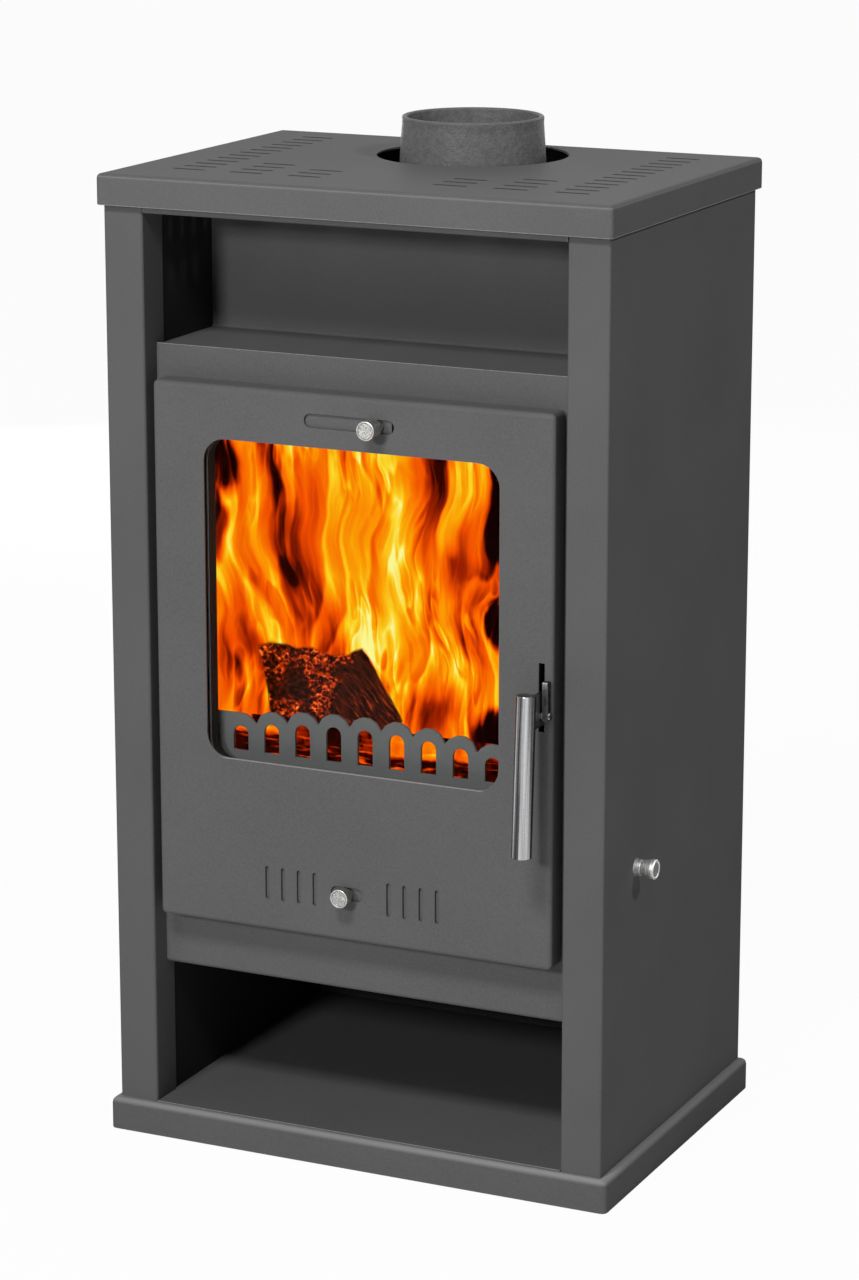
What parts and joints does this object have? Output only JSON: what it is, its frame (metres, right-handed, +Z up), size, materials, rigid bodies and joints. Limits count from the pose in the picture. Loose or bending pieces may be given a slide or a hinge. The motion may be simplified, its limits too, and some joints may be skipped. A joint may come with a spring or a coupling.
{
  "type": "wood stove",
  "caption": "Upright steel wood stove with a glazed, side-hinged door, air sliders and a lift handle, a warming niche, a log bay below and a top flue collar.",
  "frame": {"origin": "on the floor, in the middle of the casing's footprint, at the base's cross brace", "axes": "+X to the stove's right as seen from the front, +Y to the back, +Z up; the door faces -Y"},
  "size_m": [0.4753, 0.3746, 0.8633],
  "materials": {
    "grey_paint": "matte heat-resistant paint, dark grey",
    "dark_paint": "matte black paint",
    "cast_iron": "rough, painted dark grey",
    "black_steel": "bare steel plate, heat-darkened",
    "zinc_steel": "zinc-plated, satin",
    "chrome": "polished",
    "fireclay": "rough fireclay, sooty",
    "sealing_rope": "woven glass-fibre rope",
    "stove_glass": "clear ceramic glass"
  },
  "bodies": {
    "stove": {"base_plate": "grey_paint", "bay_floor": "grey_paint", "side_panel_left": "grey_paint", "side_panel_right": "grey_paint", "back_panel": "grey_paint", "top_front_rail": "grey_paint", "top_plate": "grey_paint", "firebox_front": "grey_paint", "niche_back": "grey_paint", "log_guard": "grey_paint", "hinge_ear_upper": "grey_paint", "hinge_ear_lower": "grey_paint", "base_stiffener": "dark_paint", "inner_wall_left": "dark_paint", "inner_wall_right": "dark_paint", "bay_ceiling": "dark_paint", "flue_collar": "cast_iron", "hearth_plate": "cast_iron", "firebox_wrap": "black_steel", "firebox_floor": "black_steel", "firebox_top": "black_steel", "smoke_box": "black_steel", "firebox_support_left": "black_steel", "firebox_support_right": "black_steel", "hearth_rail_left": "black_steel", "hearth_rail_right": "black_steel", "ash_pan": "black_steel", "ash_pan_bail": "zinc_steel", "hinge_pin_upper": "zinc_steel", "hinge_pin_lower": "zinc_steel", "latch_keeper": "zinc_steel", "side_brick_left": "fireclay", "side_brick_right": "fireclay", "back_brick_left": "fireclay", "back_brick_right": "fireclay", "baffle_plate": "fireclay"},
    "door": {"door_panel": "grey_paint", "door_liner": "grey_paint", "glass_seal": "sealing_rope", "door_glass": "stove_glass", "door_rope": "sealing_rope", "upper_slider_guide": "zinc_steel", "lower_slider_guide": "zinc_steel", "hinge_lug_upper": "grey_paint", "hinge_lug_lower": "grey_paint", "handle_ear": "chrome", "handle_pin": "zinc_steel"},
    "handle": {"handle_lever": "chrome", "handle_tube": "chrome"},
    "upper_air": {"upper_air_slider": "grey_paint", "upper_air_knob": "zinc_steel", "upper_air_nut": "zinc_steel"},
    "lower_air": {"lower_air_slider": "grey_paint", "lower_air_knob": "zinc_steel", "lower_air_nut": "zinc_steel"},
    "riddle": {"grate": "cast_iron", "grate_lug": "cast_iron", "riddling_rod": "zinc_steel", "riddling_knob": "zinc_steel"}
  },
  "joints": [
    {"name": "door_hinge", "type": "hinge", "parent": "stove", "child": "door", "pos_m": [-0.174, -0.151, 0.432], "axis": [0, 0, -1], "range_deg": [0, 100]},
    {"name": "handle_lift", "type": "hinge", "parent": "door", "child": "handle", "pos_m": [0.171, -0.1664, 0.418], "axis": [-1, 0, 0], "range_deg": [0, 30]},
    {"name": "upper_air_slide", "type": "slide", "parent": "door", "child": "upper_air", "axis": [1, 0, 0], "range_m": [-0.058, 0.008]},
    {"name": "lower_air_slide", "type": "slide", "parent": "door", "child": "lower_air", "axis": [1, 0, 0], "range_m": [-0.0085, 0.0085]},
    {"name": "grate_riddle", "type": "slide", "parent": "stove", "child": "riddle", "axis": [1, 0, 0], "range_m": [-0.006, 0.01]}
  ]
}
